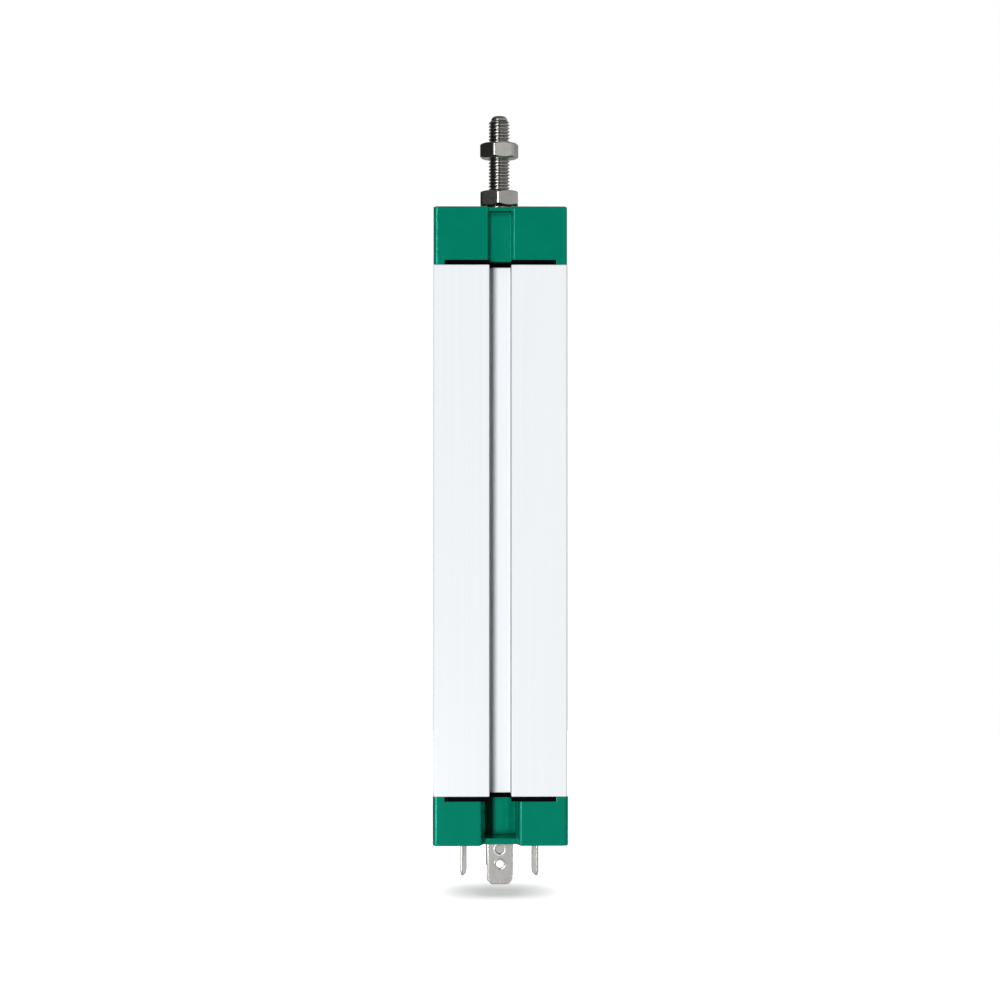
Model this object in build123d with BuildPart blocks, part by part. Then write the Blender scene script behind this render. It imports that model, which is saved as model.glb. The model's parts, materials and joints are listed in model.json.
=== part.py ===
from build123d import *
import math
import os

# Linear potentiometer with a sliding rod, in millimetres.
# The origin lies on the rod's axis, half way along the body. +Z runs along the rod and out of the body,
# and -Y is the grooved front face.

os.makedirs("parts", exist_ok=True)

# Travel
stroke = 80.0
end_gap = 0.4  # left between the carriage and an end stop
carriage_length = 36.0
front_buffer_height = 2.5
rear_buffer_height = 7.8

# Profile
body_width = 31.5
body_depth = 32.0
profile_wall = 2.2
profile_edge_radius = 0.5
front_groove_width = 5.1
front_groove_wall = 1.6
front_groove_gap = 0.7  # between the groove's back wall and the front buffer
side_groove_width = 3.0
side_groove_depth = 1.8
groove_mouth_radius = 0.3
board_rib_thickness = 1.2
board_rib_reach = 1.5

# Screws of the caps
screw_spacing = 22.4
screw_radius = 1.5
screw_clearance = 0.05
screw_head_radius = 2.75
screw_head_height = 3.0
screw_head_depth = 3.3  # of the counterbore
screw_head_gap = 0.15  # round the head
screw_length = 18.0  # below the head
screw_channel_reach = 2.7  # from the screw's axis to the channel's inner sides

# Gaskets
gasket_thickness = 1.1
gasket_inset = 0.15
gasket_gap = 0.05
gasket_web = 0.3  # between a screw's window and the foot of a cap

# Caps
front_cap_inset = 0.05  # on each side, from the profile's sides
rear_cap_overhang = 0.2  # on each side, past the profile's sides
cap_face_inset = 0.15  # from the profile's front and back faces
front_cap_height = 12.6
rear_cap_height = 10.5
cap_edge_radius = 1.1
cap_wall = 2.4
cap_screw_boss = 6.4
cap_rib_wall = 1.5
mouth_radius = 0.35

# Groove in the front cap, which is shallower across the lip at its top
cap_groove_mouth = 5.8
cap_groove_floor = 5.1
cap_groove_depth = 4.1
cap_lip_floor = 5.5
cap_lip_depth = 1.3
cap_lip_height = 1.2
front_core_height = 7.5

# Recess and pocket in the rear cap
recess_mouth = 9.1
recess_floor = 7.2
recess_depth = 3.0
plug_plate_thickness = 1.45
post_radius = 5.5

# Bearing, seal and end stops
running_gap = 0.04
bush_radius = 5.2
bush_boss_wall = 1.6
seal_height = 2.2
seal_gap = 0.06
front_buffer_width = 11.0
front_buffer_gap = 0.4
rear_buffer_width = 7.5

# Rod
rod_radius = 3.0
shoulder_height = 1.6  # above the front cap with the rod pushed in
stud_radius = 2.5
stud_length = 20.8
stud_tip_radius = 1.95
stud_tip_length = 1.0
stud_tip_chamfer = 0.6
rod_socket_depth = 14.0
rod_end_length = 3.0
neck_radius = 2.0

# Nuts
lower_nut_width = 9.0
upper_nut_width = 8.0
nut_height = 3.7
nut_face_inset = 0.2  # from the flats to the round edge of an end face
nut_chamfer_angle = 30.0
thread_gap = 0.05
lower_nut_turn = -4.5
upper_nut_turn = -15.5
upper_nut_lift = 11.55  # from the rod's shoulder to the nut's underside

# Carriage
carriage_side_gap = 0.65
carriage_leg_width = 4.4
carriage_leg_gap = 0.2
carriage_bar_reach = 5.4  # from the rod's axis to the front of the bar between the legs
carriage_back_gap = 0.2
carriage_pocket_width = 12.0
carriage_pocket_depth = 7.0
carriage_pocket_margin = 4.0
shoe_rib_gap = 0.6  # between a guide shoe and the board's rib
shoe_length = 8.0
shoe_recess = 0.5
shoe_gap = 0.1
shoe_margin = 2.0
clip_thickness = 1.0
clip_gap = 0.1
clip_width = 8.8
clip_leg_overhang = 1.2

# Board, tracks and springs
board_thickness = 1.5
board_gap = 0.1
board_end_gap = 1.5
track_width = 5.0
track_spacing = 11.0
track_thickness = 0.1
track_end_margin = 2.0
spring_width = 4.0
spring_thickness = 0.3
spring_gap = 0.05
spring_offset = 6.0  # from the carriage's lower end
spring_base_length = 7.0
spring_arm_length = 8.0
spring_tip_length = 1.5
spring_tip_lift = 0.5
spring_slit_width = 0.4
spring_fingers = 3

# Plug contacts
blade_width = 6.3
blade_thickness = 0.8
blade_circle_radius = 9.0
side_blade_offset = 8.6  # of the two side blades, from the axis
blade_toe_in = 8.3  # the two side blades converge towards the back by this angle
blade_edge_chamfer = 0.2
blade_tip_height = 1.1
blade_tip_width = 3.9
signal_blade_reach = 9.05
earth_blade_reach = 10.0
earth_hole_radius = 0.9
earth_hole_from_tip = 4.8
earth_tail_width = 4.0
earth_tail_length = 5.4
earth_tail_cover = 0.4  # plastic under the bent tail
rivet_from_plug_face = 1.6
rivet_flange_radius = 1.55
rivet_tube_radius = 1.2
rivet_flange_height = 0.25
carrier_height = 4.0
carrier_gap = 0.15
tail_width = 3.0
tail_length = 3.0
insert_radius = 2.5
insert_length = 8.0
insert_bore_radius = 1.25
insert_bore_depth = 7.0

# Leads
lead_radius = 0.5
lead_pad_height = 1.6  # from the board's lower end to the lead's axis
lead_overlap = 3.0  # of the rear lead behind the board

# Levels along the rod
inner_length = front_buffer_height + rear_buffer_height + stroke + carriage_length + 2 * end_gap
profile_length = inner_length - 2 * gasket_thickness
front_cap_top = (front_cap_height + inner_length + rear_cap_height) / 2
front_cap_bottom = front_cap_top - front_cap_height
profile_top = front_cap_bottom - gasket_thickness
profile_bottom = profile_top - profile_length
rear_cap_top = profile_bottom - gasket_thickness
plug_face = rear_cap_top - rear_cap_height
plug_plate_top = plug_face + plug_plate_thickness
carrier_top = plug_plate_top + carrier_height
tail_top = carrier_top + tail_length
carriage_bottom = rear_cap_top + rear_buffer_height + end_gap
carriage_top = carriage_bottom + carriage_length
shoulder = front_cap_top + shoulder_height
stud_end = shoulder + stud_length
rod_bottom = carriage_top - rod_socket_depth + clip_gap
neck_bottom = rod_bottom + rod_end_length
neck_top = neck_bottom + clip_thickness + 2 * clip_gap
clip_bottom = neck_bottom + clip_gap
board_bottom = profile_bottom + board_end_gap
board_length = profile_length - 2 * board_end_gap
lead_pad_level = board_bottom + lead_pad_height
track_bottom = lead_pad_level + track_end_margin
track_length = board_bottom + board_length - track_end_margin - track_bottom
spring_bottom = carriage_bottom + spring_offset

# Places across the body
front_cap_width = body_width - 2 * front_cap_inset
rear_cap_width = body_width + 2 * rear_cap_overhang
cap_depth = body_depth - 2 * cap_face_inset
profile_front = -body_depth / 2
front_groove_floor = -front_buffer_width / 2 - front_groove_gap - front_groove_wall
front_groove_depth = front_groove_floor - profile_front
cap_front = -cap_depth / 2
cavity_width = body_width - 2 * profile_wall
cavity_depth = body_depth - 2 * profile_wall
channel_width = (cavity_width - screw_spacing) / 2 + screw_channel_reach
channel_depth = (cavity_depth - screw_spacing) / 2 + screw_channel_reach
screw_hole_radius = screw_radius + screw_clearance
board_back = screw_spacing / 2 - screw_channel_reach - board_gap
board_front = board_back - board_thickness
board_rib_back = board_front - board_gap
board_rib_front = board_rib_back - board_rib_thickness
track_front = board_front - track_thickness
carriage_width = cavity_width - 2 * carriage_side_gap
carriage_back = board_rib_front - carriage_back_gap
carriage_leg_front = screw_channel_reach + carriage_leg_gap - screw_spacing / 2
shoe_width = 2 * (board_rib_front - shoe_rib_gap)
neck_gap_radius = neck_radius + clip_gap


def recess_corners(mouth, floor, depth):
    """Corners of a recess in a cap's front face, which narrows from its mouth to its floor."""
    back = cap_front + depth
    return [(-mouth / 2, cap_front), (-floor / 2, back), (floor / 2, back), (mouth / 2, cap_front)]


def round_mouth(section, mouth, front, radius):
    """Round the two corners of a section where a recess of this width opens in its front."""
    corners = section.vertices().filter_by_position(Axis.Y, front - radius, front + radius)
    fillet(corners.filter_by_position(Axis.X, -mouth / 2 - radius, mouth / 2 + radius), radius)


def cap_section(section, width, mouth, floor, depth):
    """Section of a cap with a recess in its front face."""
    RectangleRounded(width, cap_depth, cap_edge_radius)
    Polygon(*recess_corners(mouth, floor, depth), mode=Mode.SUBTRACT)
    round_mouth(section, mouth, cap_front, mouth_radius)


def foot_size(width):
    """Side of the square feet of a cap of this width, which leave the gasket its web beside the screws."""
    return (width - screw_spacing) / 2 - screw_hole_radius - gasket_web - gasket_gap


def corner_feet(width):
    """Outline of the four square feet at the corners of a cap of this width."""
    RectangleRounded(width, cap_depth, cap_edge_radius)
    Rectangle(width - 2 * foot_size(width), cap_depth, mode=Mode.SUBTRACT)
    Rectangle(width, cap_depth - 2 * foot_size(width), mode=Mode.SUBTRACT)


def cap_core(width, rib_width, rib_depth, gap=0.0):
    """Hollow of a cap behind its recess and round its screw bosses, less a gap."""
    Rectangle(width - 2 * cap_wall - 2 * gap, cap_depth - 2 * cap_wall - 2 * gap)
    with Locations((0, cap_front)):
        Rectangle(
            rib_width + 2 * gap, rib_depth + gap, align=(Align.CENTER, Align.MIN), mode=Mode.SUBTRACT
        )
    with GridLocations(screw_spacing, screw_spacing, 2, 2):
        Rectangle(cap_screw_boss + 2 * gap, cap_screw_boss + 2 * gap, mode=Mode.SUBTRACT)


def profile_walls(inset=0.0):
    """Section of the profile's outer walls and of the front groove's walls, set in from the outside."""
    RectangleRounded(body_width - 2 * inset, body_depth - 2 * inset, profile_edge_radius)
    Rectangle(cavity_width, cavity_depth, mode=Mode.SUBTRACT)
    with Locations((0, profile_front + inset)):
        Rectangle(
            front_groove_width + 2 * front_groove_wall,
            front_groove_depth + front_groove_wall - inset,
            align=(Align.CENTER, Align.MIN),
        )


def front_groove():
    """Cut of the front groove."""
    with Locations((0, profile_front)):
        Rectangle(
            front_groove_width, front_groove_depth, align=(Align.CENTER, Align.MIN), mode=Mode.SUBTRACT
        )


def screw_channels():
    """Section of the four screw channels in the profile's corners, without their holes."""
    with GridLocations(cavity_width - channel_width, cavity_depth - channel_depth, 2, 2):
        Rectangle(channel_width, channel_depth)


def gasket_section(cap_width):
    """Section of a gasket: the profile's walls and channels less the screws and the feet of its cap."""
    profile_walls(gasket_inset)
    screw_channels()
    front_groove()
    with GridLocations(screw_spacing, screw_spacing, 2, 2):
        Rectangle(2 * screw_hole_radius, 2 * screw_hole_radius, mode=Mode.SUBTRACT)
    foot_window = 2 * (foot_size(cap_width) + gasket_gap)
    with GridLocations(cap_width, cap_depth, 2, 2):
        Rectangle(foot_window, foot_window, mode=Mode.SUBTRACT)


# Extruded profile
with BuildPart() as housing_profile:
    with BuildSketch(Plane.XY.offset(profile_bottom)) as profile_section:
        profile_walls()
        screw_channels()
        # Ribs in front of the board's edges
        with Locations((0, (board_rib_front + board_rib_back) / 2)):
            with GridLocations(cavity_width, 1, 2, 1):
                Rectangle(2 * board_rib_reach, board_rib_thickness)
        # Front groove, bracket grooves and screw holes
        front_groove()
        with Locations((0, screw_spacing / 2)):
            with GridLocations(body_width, 1, 2, 1):
                Rectangle(2 * side_groove_depth, side_groove_width, mode=Mode.SUBTRACT)
        with GridLocations(screw_spacing, screw_spacing, 2, 2):
            Circle(screw_hole_radius, mode=Mode.SUBTRACT)
        round_mouth(profile_section, front_groove_width, profile_front, groove_mouth_radius)
    extrude(amount=profile_length)

housing_profile.part.label = "housing_profile"
export_step(housing_profile.part, "parts/housing_profile.step")

# Cap at the rod end
with BuildPart() as front_cap:
    with BuildSketch(Plane.XY.offset(front_cap_bottom)) as groove_section:
        cap_section(groove_section, front_cap_width, cap_groove_mouth, cap_groove_floor, cap_groove_depth)
    extrude(amount=front_cap_height - cap_lip_height)
    with BuildSketch(Plane.XY.offset(front_cap_top - cap_lip_height)) as lip_section:
        cap_section(lip_section, front_cap_width, cap_groove_mouth, cap_lip_floor, cap_lip_depth)
    extrude(amount=cap_lip_height)
    with BuildSketch(Plane.XY.offset(front_cap_bottom)):
        corner_feet(front_cap_width)
    extrude(amount=-gasket_thickness)
    # Hollow underside
    with BuildSketch(Plane.XY.offset(front_cap_bottom)):
        cap_core(front_cap_width, cap_groove_mouth + 2 * cap_rib_wall, cap_groove_depth + cap_rib_wall)
        bush_boss = 2 * (bush_radius + bush_boss_wall)
        Rectangle(bush_boss, bush_boss, mode=Mode.SUBTRACT)
    extrude(amount=front_core_height, mode=Mode.SUBTRACT)
    with Locations((0, 0, front_cap_top)):
        Hole(bush_radius)
        with GridLocations(screw_spacing, screw_spacing, 2, 2):
            CounterBoreHole(screw_hole_radius, screw_head_radius + screw_head_gap, screw_head_depth)

front_cap.part.label = "front_cap"
export_step(front_cap.part, "parts/front_cap.step")


# Signal blades of the plug, each with its flat side towards the axis
def blade_outline(half_width, bottom, top):
    """Outline of a blade with a chamfered tip, in the blade's own plane."""
    Polygon(
        (-blade_tip_width / 2, bottom),
        (blade_tip_width / 2, bottom),
        (half_width, bottom + blade_tip_height),
        (half_width, top),
        (-half_width, top),
        (-half_width, bottom + blade_tip_height),
    )


toe_in = math.radians(blade_toe_in)
blade_places = {
    "contact_blade_1": ((-side_blade_offset, 0), (math.sin(toe_in), math.cos(toe_in))),
    "contact_blade_2": ((side_blade_offset, 0), (-math.sin(toe_in), math.cos(toe_in))),
    "contact_blade_3": ((0, blade_circle_radius), (1, 0)),
}
signal_blades = []
for name, (place, width_direction) in blade_places.items():
    blade_normal = Vector(*width_direction).cross(Vector(0, 0, 1))
    blade_plane = Plane(origin=place, x_dir=width_direction, z_dir=blade_normal)
    with BuildPart() as contact_blade:
        with BuildSketch(blade_plane):
            blade_outline(blade_width / 2, plug_face - signal_blade_reach, carrier_top)
        extrude(amount=blade_thickness / 2, both=True)
        flat_sides = contact_blade.faces().sort_by(SortBy.AREA)[-2:]
        chamfer(flat_sides.edges(), blade_edge_chamfer)
        with BuildSketch(blade_plane):
            with Locations((0, carrier_top)):
                Rectangle(tail_width, tail_length, align=(Align.CENTER, Align.MIN))
        extrude(amount=blade_thickness / 2, both=True)
    contact_blade.part.label = name
    export_step(contact_blade.part, f"parts/{name}.step")
    signal_blades.append(contact_blade.part)

# Earth blade, bent back into the cap above the plug face
earth_plane = Plane(origin=(0, -blade_circle_radius, 0), x_dir=(1, 0, 0), z_dir=(0, -1, 0))
earth_bend_top = plug_face + earth_tail_cover + blade_thickness
rivet_level = plug_face - rivet_from_plug_face
with BuildPart() as earth_blade:
    with BuildSketch(earth_plane):
        blade_outline(blade_width / 2, plug_face - earth_blade_reach, earth_bend_top)
    extrude(amount=blade_thickness / 2, both=True)
    flat_sides = earth_blade.faces().sort_by(SortBy.AREA)[-2:]
    chamfer(flat_sides.edges(), blade_edge_chamfer)
    with BuildSketch(Plane.XY.offset(plug_face + earth_tail_cover)):
        with Locations((0, -blade_circle_radius)):
            Rectangle(earth_tail_width, earth_tail_length, align=(Align.CENTER, Align.MIN))
    extrude(amount=blade_thickness)
    with BuildSketch(earth_plane):
        with Locations((0, plug_face - earth_blade_reach + earth_hole_from_tip)):
            Circle(earth_hole_radius)
        with Locations((0, rivet_level)):
            Circle(rivet_tube_radius)
    extrude(amount=blade_thickness, both=True, mode=Mode.SUBTRACT)

earth_blade.part.label = "earth_blade"
export_step(earth_blade.part, "parts/earth_blade.step")

# Closed eyelet in the earth blade
with BuildPart() as earth_rivet:
    with BuildSketch(earth_plane):
        with Locations((0, rivet_level)):
            Circle(rivet_flange_radius)
    extrude(amount=blade_thickness / 2 + rivet_flange_height, both=True)
    with BuildSketch(earth_plane):
        with Locations((0, rivet_level)):
            Circle(rivet_flange_radius)
            Circle(rivet_tube_radius, mode=Mode.SUBTRACT)
    extrude(amount=blade_thickness / 2, both=True, mode=Mode.SUBTRACT)

earth_rivet.part.label = "earth_rivet"
export_step(earth_rivet.part, "parts/earth_rivet.step")

# Cap at the plug end, moulded round the blades
with BuildPart() as rear_cap:
    with BuildSketch(Plane.XY.offset(plug_face)) as recess_section:
        cap_section(recess_section, rear_cap_width, recess_mouth, recess_floor, recess_depth)
    extrude(amount=rear_cap_height)
    with BuildSketch(Plane.XY.offset(rear_cap_top)):
        corner_feet(rear_cap_width)
    extrude(amount=gasket_thickness)
    # Pocket between the recess and the round post
    with BuildSketch(Plane.XY.offset(plug_plate_top)):
        with Locations((0, cap_front)):
            Rectangle(recess_floor, cap_depth / 2, align=(Align.CENTER, Align.MIN))
        Circle(post_radius, mode=Mode.SUBTRACT)
    extrude(amount=rear_cap_height, mode=Mode.SUBTRACT)
    # Hollow for the contact carrier
    with BuildSketch(Plane.XY.offset(plug_plate_top)):
        cap_core(rear_cap_width, recess_floor + 2 * cap_rib_wall, cap_depth / 2)
        Circle(post_radius, mode=Mode.SUBTRACT)
    extrude(amount=rear_cap_height, mode=Mode.SUBTRACT)
    with Locations(Location((0, 0, plug_face), (180, 0, 0))):
        Hole(insert_radius, depth=insert_length)
        with GridLocations(screw_spacing, screw_spacing, 2, 2):
            CounterBoreHole(screw_hole_radius, screw_head_radius + screw_head_gap, screw_head_depth)
    for blade in signal_blades + [earth_blade.part]:
        add(blade, mode=Mode.SUBTRACT)

rear_cap.part.label = "rear_cap"
export_step(rear_cap.part, "parts/rear_cap.step")

# Carrier that holds the signal blades in the rear cap
with BuildPart() as contact_carrier:
    with BuildSketch(Plane.XY.offset(plug_plate_top)):
        cap_core(rear_cap_width, recess_floor + 2 * cap_rib_wall, cap_depth / 2, carrier_gap)
        Circle(post_radius + carrier_gap, mode=Mode.SUBTRACT)
    extrude(amount=carrier_height)
    for blade in signal_blades:
        add(blade, mode=Mode.SUBTRACT)

contact_carrier.part.label = "contact_carrier"
export_step(contact_carrier.part, "parts/contact_carrier.step")

# Threaded insert for the screw of the mating plug
with BuildPart() as centre_insert:
    with BuildSketch(Plane.XY.offset(plug_face)):
        Circle(insert_radius)
    extrude(amount=insert_length)
    with Locations(Location((0, 0, plug_face), (180, 0, 0))):
        Hole(insert_bore_radius, depth=insert_bore_depth)

centre_insert.part.label = "centre_insert"
export_step(centre_insert.part, "parts/centre_insert.step")

# Gaskets
with BuildPart() as front_gasket:
    with BuildSketch(Plane.XY.offset(profile_top)):
        gasket_section(front_cap_width)
    extrude(amount=gasket_thickness)

front_gasket.part.label = "front_gasket"
export_step(front_gasket.part, "parts/front_gasket.step")

with BuildPart() as rear_gasket:
    with BuildSketch(Plane.XY.offset(rear_cap_top)):
        gasket_section(rear_cap_width)
    extrude(amount=gasket_thickness)

rear_gasket.part.label = "rear_gasket"
export_step(rear_gasket.part, "parts/rear_gasket.step")


# Cylinder-head screws, four to each cap
screw_places = {
    "front_cap_screws": Location((0, 0, front_cap_top - screw_head_depth)),
    "rear_cap_screws": Location((0, 0, plug_face + screw_head_depth), (180, 0, 0)),
}
for name, seat in screw_places.items():
    with BuildPart(Plane(seat)) as cap_screws:
        with GridLocations(screw_spacing, screw_spacing, 2, 2):
            Cylinder(screw_radius, screw_length, align=(Align.CENTER, Align.CENTER, Align.MAX))
            Cylinder(screw_head_radius, screw_head_height, align=(Align.CENTER, Align.CENTER, Align.MIN))
    cap_screws.part.label = name
    export_step(cap_screws.part, f"parts/{name}.step")

# Plain bearing of the rod
with BuildPart() as rod_bush:
    with BuildSketch(Plane.XY.offset(front_cap_bottom)):
        Circle(bush_radius)
        Circle(rod_radius + running_gap, mode=Mode.SUBTRACT)
    extrude(amount=front_cap_height - seal_height)

rod_bush.part.label = "rod_bush"
export_step(rod_bush.part, "parts/rod_bush.step")

# Wiper seal
with BuildPart() as wiper_seal:
    with BuildSketch(Plane.XY.offset(front_cap_top)):
        Circle(bush_radius)
        Circle(rod_radius + seal_gap, mode=Mode.SUBTRACT)
    extrude(amount=-seal_height)

wiper_seal.part.label = "wiper_seal"
export_step(wiper_seal.part, "parts/wiper_seal.step")

# Rubber end stops
with BuildPart() as front_buffer:
    with BuildSketch(Plane.XY.offset(front_cap_bottom)):
        Rectangle(front_buffer_width, front_buffer_width)
        Circle(rod_radius + front_buffer_gap, mode=Mode.SUBTRACT)
    extrude(amount=-front_buffer_height)

front_buffer.part.label = "front_buffer"
export_step(front_buffer.part, "parts/front_buffer.step")

with BuildPart() as rear_buffer:
    with BuildSketch(Plane.XY.offset(rear_cap_top)):
        Rectangle(rear_buffer_width, rear_buffer_width)
    extrude(amount=rear_buffer_height)

rear_buffer.part.label = "rear_buffer"
export_step(rear_buffer.part, "parts/rear_buffer.step")

# Element board with its two tracks
with BuildPart() as element_board:
    with BuildSketch(Plane.XY.offset(board_bottom)):
        with Locations((0, board_front)):
            Rectangle(cavity_width - 2 * board_gap, board_thickness, align=(Align.CENTER, Align.MIN))
    extrude(amount=board_length)

element_board.part.label = "element_board"
export_step(element_board.part, "parts/element_board.step")

for name, side in (("resistance_track", -1), ("collector_track", 1)):
    with BuildPart() as track:
        with BuildSketch(Plane.XY.offset(track_bottom)):
            with Locations((side * track_spacing / 2, track_front)):
                Rectangle(track_width, track_thickness, align=(Align.CENTER, Align.MIN))
        extrude(amount=track_length)
    track.part.label = name
    export_step(track.part, f"parts/{name}.step")

# Leads from the side blades to the front of the board, and from the rear blade up behind it
for name, side in (("lead_wire_1", -1), ("lead_wire_2", 1)):
    lead_x = side * side_blade_offset
    with BuildPart() as lead_wire:
        with BuildLine():
            Polyline(
                (lead_x, 0, tail_top),
                (lead_x, 0, lead_pad_level),
                (lead_x, board_front, lead_pad_level),
            )
        with BuildSketch(Plane.XY.offset(tail_top)):
            with Locations((lead_x, 0)):
                Circle(lead_radius)
        sweep(transition=Transition.RIGHT)
    lead_wire.part.label = name
    export_step(lead_wire.part, f"parts/{name}.step")

with BuildPart() as lead_wire_3:
    with BuildSketch(Plane.XY.offset(tail_top)):
        with Locations((0, board_back + lead_radius + board_gap)):
            Circle(lead_radius)
    extrude(amount=board_bottom + lead_overlap - tail_top)

lead_wire_3.part.label = "lead_wire_3"
export_step(lead_wire_3.part, "parts/lead_wire_3.step")

# Carriage: a bar between two legs that run along the screw channels
with BuildPart() as carriage:
    with BuildSketch(Plane.XY.offset(carriage_bottom)):
        with Locations((0, carriage_back)):
            Rectangle(
                carriage_width, carriage_back - carriage_leg_front, align=(Align.CENTER, Align.MAX)
            )
        with Locations((0, -carriage_bar_reach)):
            Rectangle(
                carriage_width - 2 * carriage_leg_width,
                cavity_depth,
                align=(Align.CENTER, Align.MAX),
                mode=Mode.SUBTRACT,
            )
    extrude(amount=carriage_length)
    # Socket of the rod and slot of its clip
    with Locations((0, 0, carriage_top)):
        Hole(rod_radius + running_gap, depth=rod_socket_depth)
    with BuildSketch(Plane.XY.offset(clip_bottom)):
        with Locations((0, neck_radius + clip_leg_overhang)):
            Rectangle(clip_width, cavity_depth, align=(Align.CENTER, Align.MAX))
    extrude(amount=clip_thickness, mode=Mode.SUBTRACT)
    # Pocket in the lower half
    with BuildSketch(Plane.XY.offset(carriage_bottom + carriage_pocket_margin)):
        with Locations((0, -carriage_bar_reach)):
            Rectangle(carriage_pocket_width, carriage_pocket_depth, align=(Align.CENTER, Align.MIN))
    extrude(amount=rod_bottom - carriage_bottom - 2 * carriage_pocket_margin, mode=Mode.SUBTRACT)
    # Seats of the guide shoes
    for shoe_bottom in (carriage_bottom + shoe_margin, carriage_top - shoe_margin - shoe_length):
        with BuildSketch(Plane.XY.offset(shoe_bottom)):
            with GridLocations(carriage_width, 1, 2, 1):
                Rectangle(2 * shoe_recess, shoe_width)
        extrude(amount=shoe_length, mode=Mode.SUBTRACT)

carriage.part.label = "carriage"
export_step(carriage.part, "parts/carriage.step")

# Guide shoes
shoe_thickness = shoe_recess + carriage_side_gap - shoe_gap
with BuildPart() as guide_shoes:
    for shoe_bottom in (carriage_bottom + shoe_margin, carriage_top - shoe_margin - shoe_length):
        with BuildSketch(Plane.XY.offset(shoe_bottom)):
            with GridLocations(carriage_width - 2 * shoe_recess + shoe_thickness, 1, 2, 1):
                Rectangle(shoe_thickness, shoe_width)
        extrude(amount=shoe_length)

guide_shoes.part.label = "guide_shoes"
export_step(guide_shoes.part, "parts/guide_shoes.step")

# Fork clip round the rod's neck
with BuildPart() as retaining_clip:
    with BuildSketch(Plane.XY.offset(clip_bottom)):
        with Locations((0, -carriage_bar_reach)):
            Rectangle(
                clip_width,
                carriage_bar_reach + neck_radius + clip_leg_overhang,
                align=(Align.CENTER, Align.MIN),
            )
        Circle(neck_gap_radius, mode=Mode.SUBTRACT)
        Rectangle(2 * neck_gap_radius, cavity_depth, align=(Align.CENTER, Align.MIN), mode=Mode.SUBTRACT)
    extrude(amount=clip_thickness)

retaining_clip.part.label = "retaining_clip"
export_step(retaining_clip.part, "parts/retaining_clip.step")

# Finger springs that touch the tracks
spring_touch = track_front - spring_gap
spring_bend = spring_bottom + spring_base_length
spring_contact = spring_bend + spring_arm_length
spring_end = spring_contact + spring_tip_length
slit_pitch = spring_width / spring_fingers
with BuildPart() as wiper_springs:
    with BuildSketch(Plane.YZ):
        Polygon(
            (carriage_back, spring_bottom),
            (carriage_back + spring_thickness, spring_bottom),
            (carriage_back + spring_thickness, spring_bend),
            (spring_touch, spring_contact),
            (spring_touch - spring_tip_lift, spring_end),
            (spring_touch - spring_tip_lift - spring_thickness, spring_end),
            (spring_touch - spring_thickness, spring_contact),
            (carriage_back, spring_bend),
        )
    extrude(amount=(track_spacing + spring_width) / 2, both=True)
    # The strip between the two springs
    with Locations((0, carriage_back, spring_bottom)):
        Box(
            track_spacing - spring_width,
            board_front,
            carriage_length,
            align=(Align.CENTER, Align.CENTER, Align.MIN),
            mode=Mode.SUBTRACT,
        )
    # The slits between their fingers
    with BuildSketch(Plane.XZ):
        with Locations((0, spring_bend)):
            with GridLocations(track_spacing, 1, 2, 1):
                with GridLocations(slit_pitch, 1, spring_fingers - 1, 1):
                    Rectangle(spring_slit_width, carriage_length, align=(Align.CENTER, Align.MIN))
    extrude(amount=-cavity_depth / 2, mode=Mode.SUBTRACT)

wiper_springs.part.label = "wiper_springs"
export_step(wiper_springs.part, "parts/wiper_springs.step")

# Rod, with its neck for the clip and its threaded stud
with BuildPart() as actuator_rod:
    with BuildSketch(Plane.XZ):
        Polygon(
            (0, rod_bottom),
            (rod_radius, rod_bottom),
            (rod_radius, neck_bottom),
            (neck_radius, neck_bottom),
            (neck_radius, neck_top),
            (rod_radius, neck_top),
            (rod_radius, shoulder),
            (stud_radius, shoulder),
            (stud_radius, stud_end),
            (stud_tip_radius, stud_end),
            (stud_tip_radius, stud_end + stud_tip_length),
            (0, stud_end + stud_tip_length),
        )
    revolve(axis=Axis.Z)
    chamfer(actuator_rod.edges().filter_by(GeomType.CIRCLE).sort_by(Axis.Z)[-1], stud_tip_chamfer)

actuator_rod.part.label = "actuator_rod"
export_step(actuator_rod.part, "parts/actuator_rod.step")

# Nuts, each with a corner near the front and both ends chamfered
nut_sizes = {
    "lower_nut": (lower_nut_width, shoulder, lower_nut_turn),
    "upper_nut": (upper_nut_width, shoulder + upper_nut_lift, upper_nut_turn),
}
for name, (nut_width, nut_bottom, turn) in nut_sizes.items():
    nut_top = nut_bottom + nut_height
    nut_face_radius = nut_width / 2 - nut_face_inset
    nut_corner_radius = nut_width / math.sqrt(3)
    nut_chamfer = (nut_corner_radius - nut_face_radius) * math.tan(math.radians(nut_chamfer_angle))
    with BuildPart() as nut:
        with BuildSketch(Plane.XY.offset(nut_bottom)):
            RegularPolygon(nut_width / 2, 6, major_radius=False, rotation=turn - 90)
            Circle(stud_radius + thread_gap, mode=Mode.SUBTRACT)
        extrude(amount=nut_height)
        with BuildSketch(Plane.XZ):
            Polygon(
                (0, nut_bottom),
                (nut_face_radius, nut_bottom),
                (nut_corner_radius, nut_bottom + nut_chamfer),
                (nut_corner_radius, nut_top - nut_chamfer),
                (nut_face_radius, nut_top),
                (0, nut_top),
            )
        revolve(axis=Axis.Z, mode=Mode.INTERSECT)
    nut.part.label = name
    export_step(nut.part, f"parts/{name}.step")
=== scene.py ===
import json
import math

import bmesh
import bpy
from mathutils import Matrix, Vector

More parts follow.
